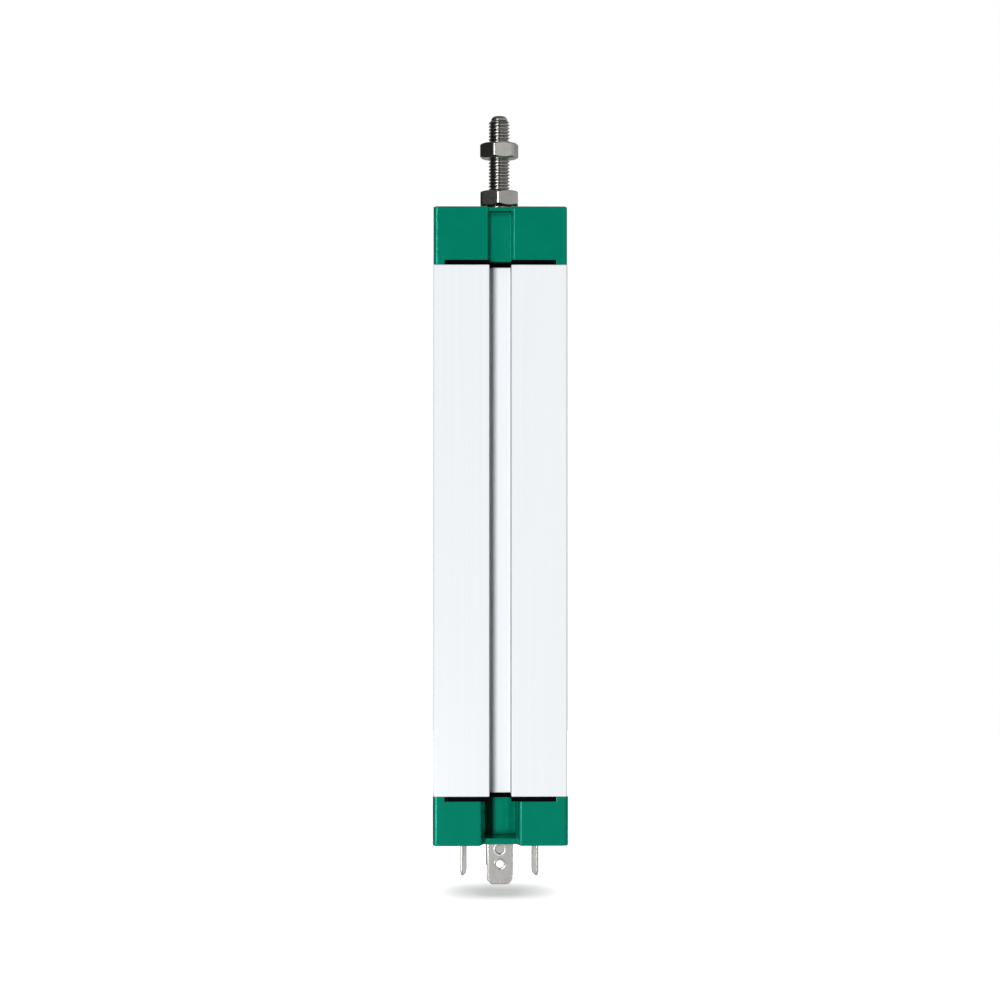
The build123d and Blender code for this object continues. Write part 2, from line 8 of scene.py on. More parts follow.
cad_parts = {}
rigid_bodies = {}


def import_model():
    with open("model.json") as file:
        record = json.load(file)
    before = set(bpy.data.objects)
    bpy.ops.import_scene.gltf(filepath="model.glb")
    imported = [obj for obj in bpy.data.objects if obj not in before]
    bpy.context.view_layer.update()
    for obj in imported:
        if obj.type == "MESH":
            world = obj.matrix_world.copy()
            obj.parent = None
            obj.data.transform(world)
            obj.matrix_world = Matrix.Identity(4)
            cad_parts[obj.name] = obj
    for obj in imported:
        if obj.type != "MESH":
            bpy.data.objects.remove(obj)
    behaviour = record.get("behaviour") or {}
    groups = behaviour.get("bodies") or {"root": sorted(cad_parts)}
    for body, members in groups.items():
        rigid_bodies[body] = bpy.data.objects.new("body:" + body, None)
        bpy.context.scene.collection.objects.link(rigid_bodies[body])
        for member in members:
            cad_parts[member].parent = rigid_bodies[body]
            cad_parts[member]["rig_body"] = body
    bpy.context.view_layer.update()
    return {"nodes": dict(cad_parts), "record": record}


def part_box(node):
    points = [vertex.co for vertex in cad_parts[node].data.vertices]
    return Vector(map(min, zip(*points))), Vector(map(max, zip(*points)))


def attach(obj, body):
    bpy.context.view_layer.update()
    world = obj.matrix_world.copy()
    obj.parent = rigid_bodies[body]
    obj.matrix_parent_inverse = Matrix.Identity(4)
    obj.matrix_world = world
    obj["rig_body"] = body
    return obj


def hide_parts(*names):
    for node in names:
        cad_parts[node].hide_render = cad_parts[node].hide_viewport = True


# Linear potentiometer dressed for the picture.
# Lengths are in metres, and mm turns millimetres into them.

mm = 0.001

# Camera
eye = Vector((-10.5, -600.0, 8.97)) * mm
camera_turn = -1.0  # degrees about the vertical, to the right
focal_length = 89.64
sensor_width = 36
frame_shift = (0.0009, -0.012)

# Light
ambient_level = 0.05
floor_level = -88.3 * mm
floor_radius = 0.4
floor_tone = 0.8
floor_glow = 0.5  # added to the floor where it is seen
floor_bounce = 0.08  # tone of the floor for the light that it throws back on the object

# Rod and stud
thread_pitch = 0.8 * mm
thread_depth = 0.42 * mm
thread_run_out = 0.55 * mm  # length over which the crest rises at each end of the thread
crest_share = 0.25  # of half a pitch, flat at the thread's crest
flank_share = 0.6  # of half a pitch, sloping between crest and root
stud_radius = 2.5 * mm
tip_radius = 1.95 * mm
tip_length = 1.0 * mm
tip_rounding = 1.0 * mm
rod_radius = 3.0 * mm
neck_radius = 2.0 * mm
rod_end_length = 3.0 * mm
neck_length = 1.2 * mm
stud_length = 20.8 * mm
rod_edge = 0.2 * mm
root_shade_share = 0.7  # of the steel's tone, left in the roots of the thread as painted shade
root_blend = (0.8, 0.1)  # of the thread's depth, from where the painted shade is darkest to where the tone is whole
tip_blend = 0.05 * mm  # below the plain tip, over which the tone comes back

# Groove in the profile's front
groove_half = 2.55 * mm  # of its width
groove_floor = -7.8 * mm
wall_shade_share = 0.45  # of the aluminium's tone, left on the groove's walls as painted shade
wall_blend = (0.01 * mm, 0.07 * mm)  # beyond the walls, over which the tone comes back
foot_blend = (0.5 * mm, 0.2 * mm)  # in front of the groove's floor, over which it comes back too
end_blend = 0.5 * mm  # below the profile's lower end, over which it does so as well

# Nuts, whose turns are in degrees about the rod
lower_nut_width = 9.0 * mm
lower_nut_turn = -2.0
upper_nut_width = 8.5 * mm
upper_nut_turn = -15.5
nut_corner_rounding = 1.1 * mm
nut_edge_rounding = 0.12 * mm
nut_edge_angle = math.radians(20)  # edges sharper than this are rounded on a nut
nut_face_inset = 0.2 * mm
nut_chamfer_slope = math.tan(math.radians(30))
nut_bore_radius = 2.55 * mm
nut_mouth_radius = 2.8 * mm

# Widths of the caps' mouths, and roundings of edges
front_mouth = 5.8 * mm
rear_mouth = 9.1 * mm
mouth_rounding = 0.5 * mm
rim_rounding = 0.4 * mm
front_cap_rounding = 0.16 * mm
rear_cap_rounding = 0.2 * mm
profile_rounding = 0.28 * mm
gasket_rounding = 0.08 * mm
earth_blade_rounding = 0.25 * mm
contact_blade_rounding = 0.12 * mm

# Rings on the earth blade: one of blade metal round its hole, and one on the rim of its eyelet, near-white
# as a painted highlight
hole_from_tip = 4.8 * mm
hole_ring_radius = 1.32 * mm
hole_ring_half = 0.13 * mm
eyelet_highlight_radius = 1.42 * mm
eyelet_highlight_half = 0.13 * mm

# Cap screws
screw_spacing = 22.4 * mm
screw_head_radius = 2.75 * mm
screw_head_height = 3.0 * mm
screw_shank_radius = 1.5 * mm
screw_socket_width = 2.5 * mm
screw_socket_depth = 1.5 * mm
screw_edge = 0.25 * mm
socket_mouth = 0.12 * mm
knurl_depth = 0.06 * mm
knurl_count = 48

# Seal, whose top has a ring-shaped trough, and a lip drawn as radii and heights above the top
seal_bore = 3.05 * mm
seal_edge = 0.1 * mm
seal_trough_rim = 4.3 * mm
seal_trough_radii = (4.1 * mm, 3.75 * mm)
seal_trough_depth = 0.25 * mm
seal_lip = ((3.45 * mm, 0.3 * mm), (3.3 * mm, 0.4 * mm), (3.15 * mm, 0.35 * mm), (seal_bore, 0.2 * mm))

# Insert
insert_pitch = 0.5 * mm
insert_bore_radius = 1.25 * mm
insert_thread_depth = 0.25 * mm
insert_bore_depth = 7.0 * mm
insert_edge = 0.15 * mm
insert_mouth = 0.35 * mm

# Eyelet, whose rim is rolled. Half of its section is drawn in millimetres, as radii and distances from its
# middle, for the radius and the half thickness below, and scaled from them to the size of the solid.
eyelet_section = (
    (0.55, 0.42), (0.95, 0.42), (1.02, 0.50), (1.12, 0.60), (1.25, 0.645), (1.38, 0.64), (1.48, 0.58),
    (1.54, 0.49), (1.55, 0.41),
)
eyelet_section_radius = 1.55
eyelet_section_half = 0.65

# Meshes
weld_distance = 0.0005 * mm
source_weld_distance = 0.001 * mm  # for the meshes that come from the solids
same_place = 0.01 * mm  # how near to a rim or a corner counts as on it
corner_reach = 0.5 * mm  # how far from a corner of a cap's mouth its small rounding may reach
sharp_angle = math.radians(35)  # edges sharper than this are rounded
flat_angle = math.radians(1)  # faces within this of each other become one

# Segments of the meshes
circle_segments = 96
insert_segments = 72
eyelet_segments = 64
ring_segments = 48
ring_section_segments = 12
floor_segments = 128
rounding_segments = 3

# Creases in degrees: edges sharper than this stay sharp in the shading
rod_crease = 40
nut_crease = 50
screw_crease = 30
seal_crease = 25
insert_crease = 40
eyelet_crease = 45
ring_crease = 60

# Noise of the finishes
noise_detail = 4.0
noise_range = (0.3, 0.7)  # the middle range that most of its values lie in

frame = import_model()
cad_nodes = frame["nodes"]


# Surfaces

def node_maker(tree):
    """Functions that add a node to a tree and join two sockets."""

    def add(kind, **values):
        node = tree.nodes.new(kind)
        for key, value in values.items():
            setattr(node, key, value)
        return node

    return add, tree.links.new


def empty_tree(owner):
    """Empty the node tree of a material or world, and return functions that add and join its nodes."""
    owner.use_nodes = True
    owner.node_tree.nodes.clear()
    return node_maker(owner.node_tree)


def mapped(add, join, source, before, after):
    """Source with its range before turned into the range after, and held at the ends."""
    ramp = add("ShaderNodeMapRange")
    ramp.inputs["From Min"].default_value = before[0]
    ramp.inputs["From Max"].default_value = before[1]
    ramp.inputs["To Min"].default_value = after[0]
    ramp.inputs["To Max"].default_value = after[1]
    join(source, ramp.inputs["Value"])
    return ramp.outputs["Result"]


def textured(add, join, size):
    """Noise whose features have this size in millimetres along X, Y and Z."""
    place = add("ShaderNodeTexCoord")
    scale = add("ShaderNodeMapping")
    scale.inputs["Scale"].default_value = [1 / (side * mm) for side in size]
    noise = add("ShaderNodeTexNoise")
    noise.inputs["Scale"].default_value = 1.0
    noise.inputs["Detail"].default_value = noise_detail
    join(place.outputs["Object"], scale.inputs["Vector"])
    join(scale.outputs["Vector"], noise.inputs["Vector"])
    return noise.outputs["Fac"]


def surface(name, tones, roughness, patches, grain, relief, metallic=0.0, specular=0.5, gloss=(1, 1, 1)):
    """Material between two tones in soft patches, with a fine grain in its roughness and relief."""
    material = bpy.data.materials.new(name)
    add, join = empty_tree(material)
    shader = add("ShaderNodeBsdfPrincipled")
    shader.inputs["Metallic"].default_value = metallic
    shader.inputs["Specular IOR Level"].default_value = specular
    shader.inputs["Specular Tint"].default_value = (*gloss, 1)
    output = add("ShaderNodeOutputMaterial")
    join(shader.outputs["BSDF"], output.inputs["Surface"])

    # A colour mix has its factor in input 0, its colours in inputs 6 and 7 and its result in output 2
    patch = textured(add, join, patches)
    tint = add("ShaderNodeMix", data_type="RGBA")
    tint.inputs[6].default_value = (*tones[0], 1)
    tint.inputs[7].default_value = (*tones[1], 1)
    join(mapped(add, join, patch, noise_range, (0.0, 1.0)), tint.inputs[0])
    join(tint.outputs[2], shader.inputs["Base Color"])

    fine = textured(add, join, grain)
    join(mapped(add, join, fine, noise_range, roughness), shader.inputs["Roughness"])
    bump = add("ShaderNodeBump")
    bump.inputs["Strength"].default_value = 1.0
    bump.inputs["Distance"].default_value = relief * mm
    join(fine, bump.inputs["Height"])
    join(bump.outputs["Normal"], shader.inputs["Normal"])
    return material


# Finish by slot: two tones, roughness from and to, size of the patches, size of the grain and its relief.
# The sizes and the relief are in millimetres.
finishes = {
    "profile_aluminium": surface(
        "profile_aluminium", ((0.85, 0.88, 0.905), (0.88, 0.91, 0.94)), (0.36, 0.46),
        (0.5, 0.5, 120), (0.1, 0.1, 25), 0.002, metallic=0.05, specular=0.2,
    ),
    "cap_plastic": surface(
        "cap_plastic", ((0.0, 0.200, 0.122), (0.0008, 0.214, 0.134)), (0.15, 0.2),
        (4, 4, 4), (0.25, 0.25, 0.25), 0.001, specular=0.5, gloss=(0.1, 1.0, 0.78),
    ),
    "seal_rubber": surface(
        "seal_rubber", ((0.0006, 0.0008, 0.0008), (0.002, 0.002, 0.002)), (0.6, 0.8),
        (2, 2, 2), (0.15, 0.15, 0.15), 0.02, specular=0.03,
    ),
    "screw_steel": surface(
        "screw_steel", ((0.46, 0.45, 0.43), (0.55, 0.54, 0.52)), (0.25, 0.4),
        (1.5, 1.5, 1.5), (0.2, 0.2, 0.2), 0.004, metallic=1.0,
    ),
    "rod_steel": surface(
        "rod_steel", ((0.37, 0.36, 0.33), (0.43, 0.42, 0.39)), (0.16, 0.3),
        (2, 2, 2), (1.5, 1.5, 0.06), 0.0004, metallic=1.0,
    ),
    "nut_steel": surface(
        "nut_steel", ((0.40, 0.39, 0.365), (0.46, 0.45, 0.42)), (0.18, 0.3),
        (2, 2, 2), (0.3, 0.3, 0.12), 0.0004, metallic=1.0,
    ),
    "blade_metal": surface(
        "blade_metal", ((0.56, 0.55, 0.53), (0.62, 0.61, 0.59)), (0.24, 0.28),
        (1.5, 1.5, 5), (0.12, 0.12, 3), 0.0004, metallic=1.0,
    ),
    "insert_brass": surface(
        "insert_brass", ((0.62, 0.42, 0.16), (0.72, 0.50, 0.21)), (0.22, 0.35),
        (1.5, 1.5, 1.5), (0.15, 0.15, 0.15), 0.003, metallic=1.0,
    ),
    "bush_bronze": surface(
        "bush_bronze", ((0.40, 0.23, 0.10), (0.48, 0.29, 0.13)), (0.35, 0.5),
        (1, 1, 1), (0.1, 0.1, 0.1), 0.006, metallic=1.0,
    ),
    "board_laminate": surface(
        "board_laminate", ((0.09, 0.045, 0.015), (0.14, 0.075, 0.028)), (0.35, 0.5),
        (0.5, 0.5, 0.5), (0.25, 0.25, 0.25), 0.006,
    ),
    "track_film": surface(
        "track_film", ((0.010, 0.010, 0.011), (0.020, 0.020, 0.021)), (0.35, 0.55),
        (0.3, 0.3, 20), (0.08, 0.08, 6), 0.003,
    ),
    "carrier_plastic": surface(
        "carrier_plastic", ((0.012, 0.012, 0.013), (0.020, 0.020, 0.021)), (0.4, 0.55),
        (3, 3, 3), (0.2, 0.2, 0.2), 0.008,
    ),
    "carriage_plastic": surface(
        "carriage_plastic", ((0.55, 0.54, 0.50), (0.63, 0.62, 0.58)), (0.4, 0.55),
        (4, 4, 4), (0.25, 0.25, 0.25), 0.008,
    ),
    "shoe_plastic": surface(
        "shoe_plastic", ((0.035, 0.036, 0.038), (0.05, 0.051, 0.053)), (0.3, 0.45),
        (2, 2, 2), (0.2, 0.2, 0.2), 0.005,
    ),
    "spring_alloy": surface(
        "spring_alloy", ((0.62, 0.50, 0.34), (0.72, 0.60, 0.43)), (0.2, 0.32),
        (1, 1, 4), (0.08, 0.08, 1.5), 0.002, metallic=1.0,
    ),
    "lead_brown": surface(
        "lead_brown", ((0.085, 0.032, 0.012), (0.11, 0.043, 0.018)), (0.35, 0.5),
        (1, 1, 1), (0.15, 0.15, 0.15), 0.005,
    ),
    "lead_yellow": surface(
        "lead_yellow", ((0.70, 0.48, 0.02), (0.78, 0.55, 0.03)), (0.35, 0.5),
        (1, 1, 1), (0.15, 0.15, 0.15), 0.005,
    ),
    "lead_green": surface(
        "lead_green", ((0.012, 0.16, 0.035), (0.018, 0.20, 0.05)), (0.35, 0.5),
        (1, 1, 1), (0.15, 0.15, 0.15), 0.005,
    ),
}


def paint_shade(material, share, ramps):
    """Paint shade into a finish: leave a share of its tone, and all of it where a measure is past the
    second of its limits.
    """
    add, join = node_maker(material.node_tree)
    shader = next(node for node in material.node_tree.nodes if node.type == "BSDF_PRINCIPLED")
    tone = shader.inputs["Base Color"].links[0].from_socket
    place = add("ShaderNodeTexCoord").outputs["Object"]
    split = add("ShaderNodeSeparateXYZ")
    side = add("ShaderNodeMath", operation="ABSOLUTE")
    flat = add("ShaderNodeVectorMath", operation="MULTIPLY")
    flat.inputs[1].default_value = (1, 1, 0)
    length = add("ShaderNodeVectorMath", operation="LENGTH")
    join(place, split.inputs["Vector"])
    join(split.outputs["X"], side.inputs[0])
    join(place, flat.inputs[0])
    join(flat.outputs["Vector"], length.inputs[0])
    measures = {
        "from the side plane": side.outputs[0],
        "along Y": split.outputs["Y"],
        "along Z": split.outputs["Z"],
        "from the axis": length.outputs["Value"],
    }
    levels = [mapped(add, join, measures[measure], limits, (share, 1.0)) for measure, limits in ramps]
    level = levels[0]
    for other in levels[1:]:
        larger = add("ShaderNodeMath", operation="MAXIMUM")
        join(level, larger.inputs[0])
        join(other, larger.inputs[1])
        level = larger.outputs[0]
    shaded = add("ShaderNodeVectorMath", operation="SCALE")
    join(tone, shaded.inputs[0])
    join(level, shaded.inputs["Scale"])
    join(shaded.outputs["Vector"], shader.inputs["Base Color"])


# Painted shade in the roots of the stud's thread, up to the plain tip
stud_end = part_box("actuator_rod")[1].z - tip_length
paint_shade(finishes["rod_steel"], root_shade_share, (
    ("from the axis", [stud_radius - share * thread_depth for share in root_blend]),
    ("along Z", (stud_end - tip_blend, stud_end)),
))

# Painted shade on the walls of the groove in the profile's front, above the profile's lower end
profile_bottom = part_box("housing_profile")[0].z
paint_shade(finishes["profile_aluminium"], wall_shade_share, (
    ("from the side plane", [groove_half + beyond for beyond in wall_blend]),
    ("along Y", [groove_floor - before for before in foot_blend]),
    ("along Z", (profile_bottom, profile_bottom - end_blend)),
))

slot_of_node = {part["node"]: part["material_slot"] for part in frame["record"]["subparts"]}
for name, node in cad_nodes.items():
    node.data.materials.clear()
    node.data.materials.append(finishes[slot_of_node[name]])


# Pieces

def placed(name, data):
    """Object in the scene that holds this mesh, lamp or camera."""
    thing = bpy.data.objects.new(name, data)
    bpy.context.scene.collection.objects.link(thing)
    return thing


def piece(name, mesh, node):
    """Object of this mesh that stands for a CAD node, with its finish and its body."""
    thing = placed(name, mesh)
    mesh.materials.append(finishes[slot_of_node[node]])
    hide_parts(node)
    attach(thing, cad_nodes[node]["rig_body"])
    return thing


def smooth(mesh, crease):
    """Smooth shading, except across edges sharper than the crease in degrees."""
    mesh.polygons.foreach_set("use_smooth", [True] * len(mesh.polygons))
    mesh.set_sharp_from_angle(angle=math.radians(crease))


def mesh_of(name, form):
    """Mesh of this name with the shape of a form, which isn't used after that."""
    mesh = bpy.data.meshes.new(name)
    form.to_mesh(mesh)
    form.free()
    return mesh


def grid_mesh(name, rows, closed=True):
    """Mesh through rows of points round a form, with its first and last rows filled."""
    count = len(rows[0])
    form = bmesh.new()
    lines = [[form.verts.new(point) for point in row] for row in rows]
    for lower, upper in zip(lines, lines[1:]):
        for i in range(count):
            j = (i + 1) % count
            form.faces.new((lower[i], lower[j], upper[j], upper[i]))
    if closed:
        form.faces.new(list(reversed(lines[0])))
        form.faces.new(lines[-1])
    form.normal_update()
    return mesh_of(name, form)


def circle(radius, z, segments=circle_segments):
    """Points round the Z axis, where the radius may be a function of the angle."""
    points = []
    for i in range(segments):
        angle = 2 * math.pi * i / segments
        r = radius(angle) if callable(radius) else radius
        points.append((r * math.cos(angle), r * math.sin(angle), z))
    return points


def thread_cut(angle, z):
    """Share of the thread's depth that is cut away at a place on a right-hand thread."""
    phase = (z / thread_pitch - angle / (2 * math.pi)) % 1.0
    from_crest = abs(phase - 0.5) * 2
    return min(1.0, max(0.0, (from_crest - crest_share) / flank_share))


def rod_rows():
    """Rows of points of the rod from its end in the carriage to the tip of its stud."""
    bottom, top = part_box("actuator_rod")
    stud_top = top.z - tip_length
    shoulder = stud_top - stud_length
    neck_bottom = bottom.z + rod_end_length
    neck_top = neck_bottom + neck_length
    plain = [
        (rod_radius - rod_edge, bottom.z), (rod_radius, bottom.z + rod_edge),
        (rod_radius, neck_bottom), (neck_radius, neck_bottom),
        (neck_radius, neck_top), (rod_radius, neck_top),
        (rod_radius, shoulder - rod_edge), (rod_radius - rod_edge, shoulder),
        (stud_radius - thread_depth, shoulder),
    ]
    rows = [circle(radius, z) for radius, z in plain]

    steps_per_turn = 18
    step = thread_pitch / steps_per_turn
    steps = int(stud_length / step)
    for k in range(1, steps):
        z = shoulder + k * step
        from_end = min(z - shoulder, stud_top - z)
        limit = stud_radius - max(0.0, thread_run_out - from_end)

        def radius(angle, z=z, limit=limit):
            return min(limit, stud_radius - thread_depth * thread_cut(angle, z))

        rows.append(circle(radius, z))
    rows.append(circle(tip_radius, stud_top))
    rows.append(circle(tip_radius, top.z - tip_rounding))
    arc_steps = 8
    for k in range(1, arc_steps + 1):
        turn = math.pi / 2 * k / arc_steps
        radius = tip_radius - tip_rounding * (1 - math.cos(turn))
        rows.append(circle(radius, top.z - tip_rounding * (1 - math.sin(turn))))
    return rows


rod_mesh = grid_mesh("threaded_rod", rod_rows())
smooth(rod_mesh, rod_crease)
rod = piece("threaded_rod", rod_mesh, "actuator_rod")


def rounded_hexagon(width, turn, rounding):
    """Points of a hexagon of this width across its flats, with rounded corners."""
    arc_steps = 8
    flat_steps = 10
    corner = (width / 2 - rounding) / math.cos(math.pi / 6)
    points = []
    for side in range(6):
        middle = turn + math.pi / 3 * side
        centre = Vector((math.cos(middle), math.sin(middle))) * corner
        for k in range(arc_steps + 1):
            angle = middle + math.pi / 3 * (k / arc_steps - 0.5)
            points.append(centre + rounding * Vector((math.cos(angle), math.sin(angle))))
        following = middle + math.pi / 3
        next_centre = Vector((math.cos(following), math.sin(following))) * corner
        next_angle = middle + math.pi / 6
        start = points[-1]
        end = next_centre + rounding * Vector((math.cos(next_angle), math.sin(next_angle)))
        for k in range(1, flat_steps):
            points.append(start.lerp(end, k / flat_steps))
    return points


def nut_mesh(name, node, width, turn):
    """Hexagon nut with rounded corners, whose ends are chamfered by a cone."""
    bottom, top = (corner.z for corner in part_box(node))
    outline = rounded_hexagon(width, math.radians(turn - 90), nut_corner_rounding)
    face_radius = width / 2 - nut_face_inset
    mouth_depth = nut_mouth_radius - nut_bore_radius

    def ring(radius, z):
        return [(p.x / p.length * radius, p.y / p.length * radius, z) for p in outline]

    def outer_ring(end, inward):
        points = []
        for p in outline:
            drop = max(0.0, p.length - face_radius) * nut_chamfer_slope
            points.append((p.x, p.y, end + inward * drop))
        return points

    rows = [
        ring(nut_bore_radius, bottom + mouth_depth), ring(nut_mouth_radius, bottom),
        ring(face_radius, bottom), outer_ring(bottom, 1),
        outer_ring(top, -1), ring(face_radius, top),
        ring(nut_mouth_radius, top), ring(nut_bore_radius, top - mouth_depth),
    ]
    rows.append(rows[0])
    form = bmesh.new()
    for lower, upper in zip(rows, rows[1:]):
        for i in range(len(outline)):
            j = (i + 1) % len(outline)
            corners = [form.verts.new(p) for p in (lower[i], lower[j], upper[j], upper[i])]
            form.faces.new(corners)
    bmesh.ops.remove_doubles(form, verts=form.verts, dist=weld_distance)
    form.normal_update()
    return mesh_of(name, form)


nuts = {}
for name, width, turn in (
    ("lower_nut", lower_nut_width, lower_nut_turn),
    ("upper_nut", upper_nut_width, upper_nut_turn),
):
    mesh = nut_mesh(name + "_dressed", name, width, turn)
    nuts[name] = piece(name + "_dressed", mesh, name)
    round_edges = nuts[name].modifiers.new("round_edges", "BEVEL")
    round_edges.width = nut_edge_rounding
    round_edges.segments = rounding_segments
    round_edges.limit_method = "ANGLE"
    round_edges.angle_limit = nut_edge_angle
    smooth(mesh, nut_crease)


def square_mouth(form, mouth, front):
    """Bring the small roundings of a cap's mouth back to its two corners."""
    for vertex in form.verts:
        place = vertex.co
        if place.y < front + corner_reach and abs(abs(place.x) - mouth / 2) < corner_reach:
            vertex.co = (math.copysign(mouth / 2, place.x), front, place.z)


def softened(node, width, rim_level=None, mouth=None):
    """Copy of a CAD node with rounded edges, which are rounder round a cap's rim and mouth."""
    form = bmesh.new()
    form.from_mesh(cad_nodes[node].data)
    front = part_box(node)[0].y
    if mouth:
        square_mouth(form, mouth, front)
    bmesh.ops.remove_doubles(form, verts=form.verts, dist=source_weld_distance)
    bmesh.ops.dissolve_limit(
        form, angle_limit=flat_angle, verts=form.verts, edges=form.edges, use_dissolve_boundaries=False
    )
    share = form.edges.layers.float.new("bevel_weight_edge")
    widest = max(width, mouth_rounding)
    for edge in form.edges:
        if len(edge.link_faces) != 2 or edge.calc_face_angle() < sharp_angle:
            continue
        ends = [v.co for v in edge.verts]
        edge[share] = width / widest
        if rim_level and all(abs(end.z - rim_level) < same_place for end in ends):
            edge[share] = rim_rounding / widest
        if mouth and all(abs(abs(end.x) - mouth / 2) + abs(end.y - front) < same_place for end in ends):
            edge[share] = mouth_rounding / widest
    mesh = mesh_of(node + "_dressed", form)
    thing = piece(node + "_dressed", mesh, node)
    rounding = thing.modifiers.new("round_edges", "BEVEL")
    rounding.width = widest
    rounding.segments = rounding_segments
    rounding.limit_method = "WEIGHT"
    rounding.use_clamp_overlap = False
    thing.modifiers.new("flat_faces", "WEIGHTED_NORMAL")
    mesh.polygons.foreach_set("use_smooth", [True] * len(mesh.polygons))
    return thing


caps = [
    softened("front_cap", front_cap_rounding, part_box("front_cap")[1].z, front_mouth),
    softened("rear_cap", rear_cap_rounding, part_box("rear_cap")[0].z, rear_mouth),
]
profile = softened("housing_profile", profile_rounding)
for node in ("front_gasket", "rear_gasket"):
    softened(node, gasket_rounding)
blades = [softened("earth_blade", earth_blade_rounding)]
for node in ("contact_blade_1", "contact_blade_2", "contact_blade_3"):
    blades.append(softened(node, contact_blade_rounding))


def hexagon_radius(width):
    """Radius of a hexagon of this width across its flats, as a function of the angle."""
    return lambda angle: width / 2 / math.cos((angle % (math.pi / 3)) - math.pi / 6)


def knurled(angle):
    """Radius of a screw head with fine straight ribs round its side."""
    return screw_head_radius - knurl_depth * (1 + math.cos(knurl_count * angle)) / 2


def screw_rows(length):
    """Rows of points of a socket-head screw along Z, with the top of its head at zero."""
    under_head = -screw_head_height
    return [
        circle(screw_shank_radius - screw_edge, -length),
        circle(screw_shank_radius, -length + screw_edge),
        circle(screw_shank_radius, under_head),
        circle(screw_head_radius - screw_edge, under_head),
        circle(knurled, under_head + screw_edge),
        circle(knurled, -screw_edge),
        circle(screw_head_radius - screw_edge, 0.0),
        circle(hexagon_radius(screw_socket_width + 2 * socket_mouth), 0.0),
        circle(hexagon_radius(screw_socket_width), -socket_mouth),
        circle(hexagon_radius(screw_socket_width), -screw_socket_depth),
        circle(hexagon_radius(screw_socket_width / 2), -screw_socket_depth - 2 * socket_mouth),
    ]


def cap_screws(node, up):
    """The four screws of a cap, whose heads look up or down."""
    low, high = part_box(node)
    length = high.z - low.z
    form = bmesh.new()
    one = grid_mesh("screw", screw_rows(length))
    for x in (-screw_spacing / 2, screw_spacing / 2):
        for y in (-screw_spacing / 2, screw_spacing / 2):
            before = len(form.verts)
            form.from_mesh(one)
            form.verts.ensure_lookup_table()
            for vertex in form.verts[before:]:
                place = vertex.co
                if up:
                    vertex.co = (place.x + x, place.y + y, place.z + high.z)
                else:
                    vertex.co = (place.x + x, y - place.y, low.z - place.z)
    mesh = mesh_of(node + "_dressed", form)
    smooth(mesh, screw_crease)
    piece(node + "_dressed", mesh, node)


cap_screws("front_cap_screws", up=True)
cap_screws("rear_cap_screws", up=False)


def ring_mesh(name, section, segments=circle_segments):
    """Ring round the Z axis through a closed section of radii and levels."""
    rows = [circle(radius, z, segments) for radius, z in section]
    rows.append(rows[0])
    mesh = grid_mesh(name, rows, closed=False)
    form = bmesh.new()
    form.from_mesh(mesh)
    bmesh.ops.remove_doubles(form, verts=form.verts, dist=weld_distance)
    bmesh.ops.recalc_face_normals(form, faces=form.faces)
    form.to_mesh(mesh)
    form.free()
    return mesh


seal_low, seal_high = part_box("wiper_seal")
seal_radius = seal_high.x
seal_top = seal_high.z
seal_mesh = ring_mesh("wiper_seal_dressed", [
    (seal_bore, seal_low.z),
    (seal_radius, seal_low.z),
    (seal_radius, seal_top - seal_edge),
    (seal_radius - seal_edge, seal_top),
    (seal_trough_rim, seal_top),
    *((radius, seal_top - seal_trough_depth) for radius in seal_trough_radii),
    *((radius, seal_top + height) for radius, height in seal_lip),
])
smooth(seal_mesh, seal_crease)
piece("wiper_seal_dressed", seal_mesh, "wiper_seal")


def insert_rows():
    """Rows of points of the threaded insert, from its upper end round to the bottom of its bore."""
    low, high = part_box("centre_insert")
    radius = high.x
    rows = [
        circle(radius - insert_edge, high.z, insert_segments),
        circle(radius, high.z - insert_edge, insert_segments),
        circle(radius, low.z + insert_edge, insert_segments),
        circle(radius - insert_edge, low.z, insert_segments),
    ]
    steps_per_turn = 10
    step = insert_pitch / steps_per_turn
    for k in range(int(insert_bore_depth / step)):
        z = low.z + k * step
        mouth = max(0.0, insert_mouth - (z - low.z))

        def bore(angle, z=z, mouth=mouth):
            phase = (z / insert_pitch - angle / (2 * math.pi)) % 1.0
            groove = insert_thread_depth * (1 - abs(2 * phase - 1))
            return insert_bore_radius + max(groove, mouth)

        rows.append(circle(bore, z, insert_segments))
    return rows


insert_mesh = grid_mesh("centre_insert_dressed", insert_rows())
smooth(insert_mesh, insert_crease)
piece("centre_insert_dressed", insert_mesh, "centre_insert")

rivet_low, rivet_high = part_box("earth_rivet")
rivet_middle = (rivet_low + rivet_high) / 2
rivet_half = (rivet_high.y - rivet_low.y) / 2
rivet_radius = rivet_high.x
rim = [
    (r / eyelet_section_radius * rivet_radius, y / eyelet_section_half * rivet_half)
    for r, y in eyelet_section
]
rivet_rows = [circle(r, y, eyelet_segments) for r, y in rim]
rivet_rows += [circle(r, -y, eyelet_segments) for r, y in reversed(rim)]
rivet_mesh = grid_mesh("earth_rivet_dressed", [
    [(x + rivet_middle.x, rivet_middle.y - z, rivet_middle.z + y) for x, y, z in row] for row in rivet_rows
])
smooth(rivet_mesh, eyelet_crease)
rivet = piece("earth_rivet_dressed", rivet_mesh, "earth_rivet")


def ring_on_blade(name, slot, centre, radius, half):
    """Ring of round section that faces the front and rides with the earth blade."""
    section = [(x + radius, y) for x, y, _ in circle(half, 0.0, ring_section_segments)]
    mesh = ring_mesh(name, section, ring_segments)
    mesh.transform(Matrix.Translation(centre) @ Matrix.Rotation(math.radians(90), 4, "X"))
    smooth(mesh, ring_crease)
    mesh.materials.append(finishes[slot])
    thing = placed(name, mesh)
    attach(thing, cad_nodes["earth_blade"]["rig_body"])
    return thing


